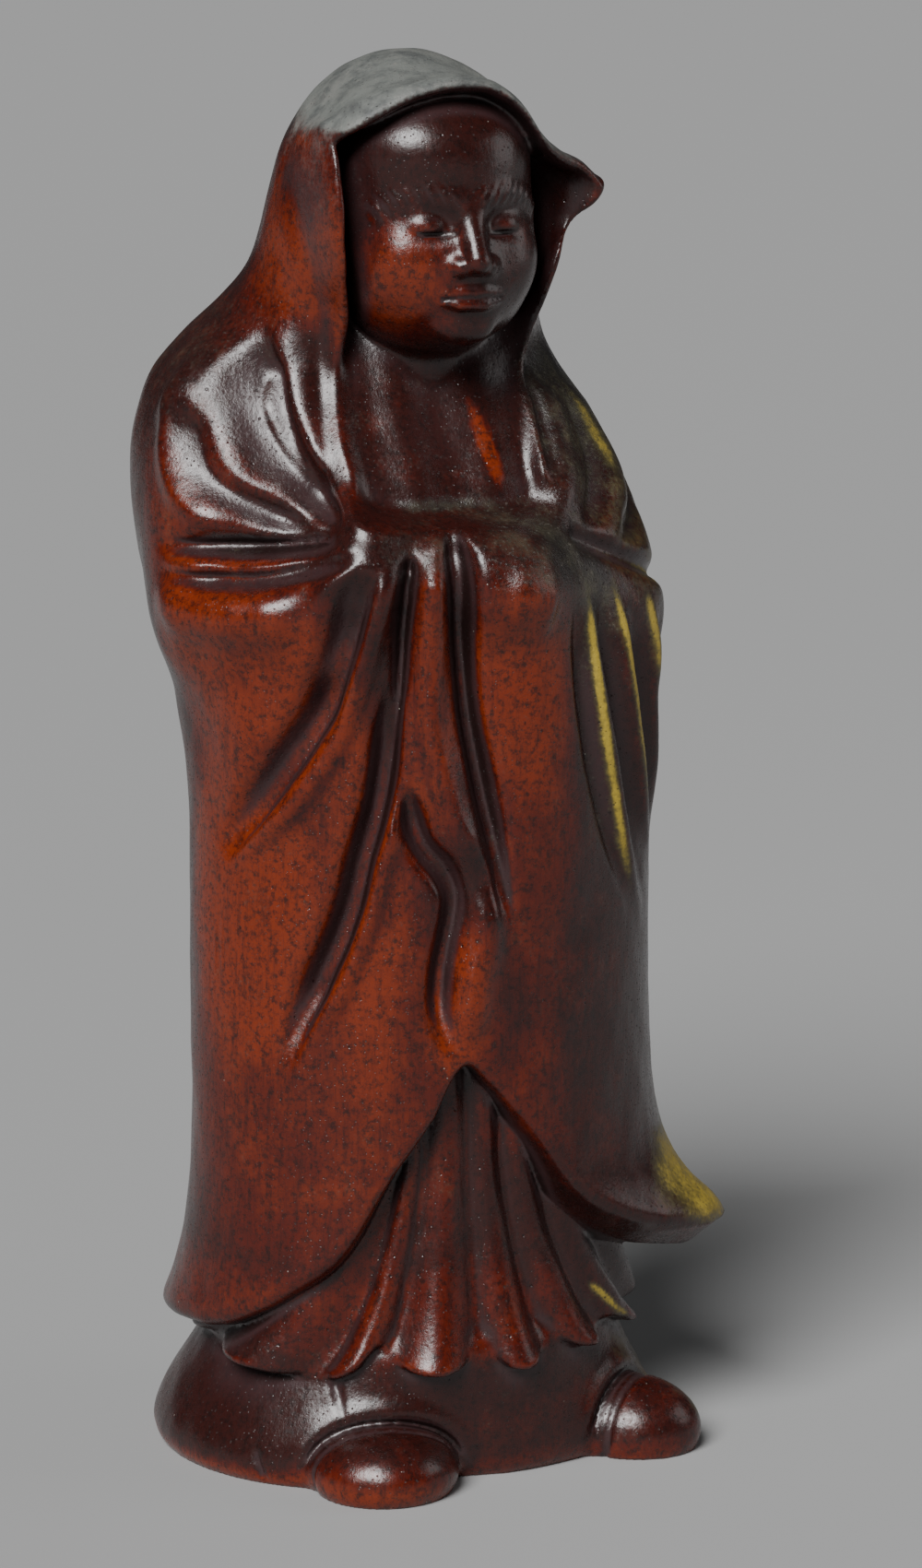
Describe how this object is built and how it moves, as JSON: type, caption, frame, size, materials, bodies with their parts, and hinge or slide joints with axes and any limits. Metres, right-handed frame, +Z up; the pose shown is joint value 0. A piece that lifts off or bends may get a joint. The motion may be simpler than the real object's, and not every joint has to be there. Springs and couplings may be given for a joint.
{
  "type": "bodhidharma statue",
  "caption": "Standing hooded monk in burnished red-brown stoneware, hands wrapped in the cloak, on a spreading base with shod feet.",
  "frame": {"origin": "on the underside of the base, below the crown of the hood", "axes": "+Z up, -Y the way the figure faces, +X the figure's left"},
  "size_m": [0.1272, 0.1094, 0.2999],
  "materials": {
    "stoneware": "burnished unglazed stoneware, satin, with natural ash"
  },
  "bodies": {
    "root": {"bodhidharma_statue": "stoneware"}
  },
  "joints": []
}
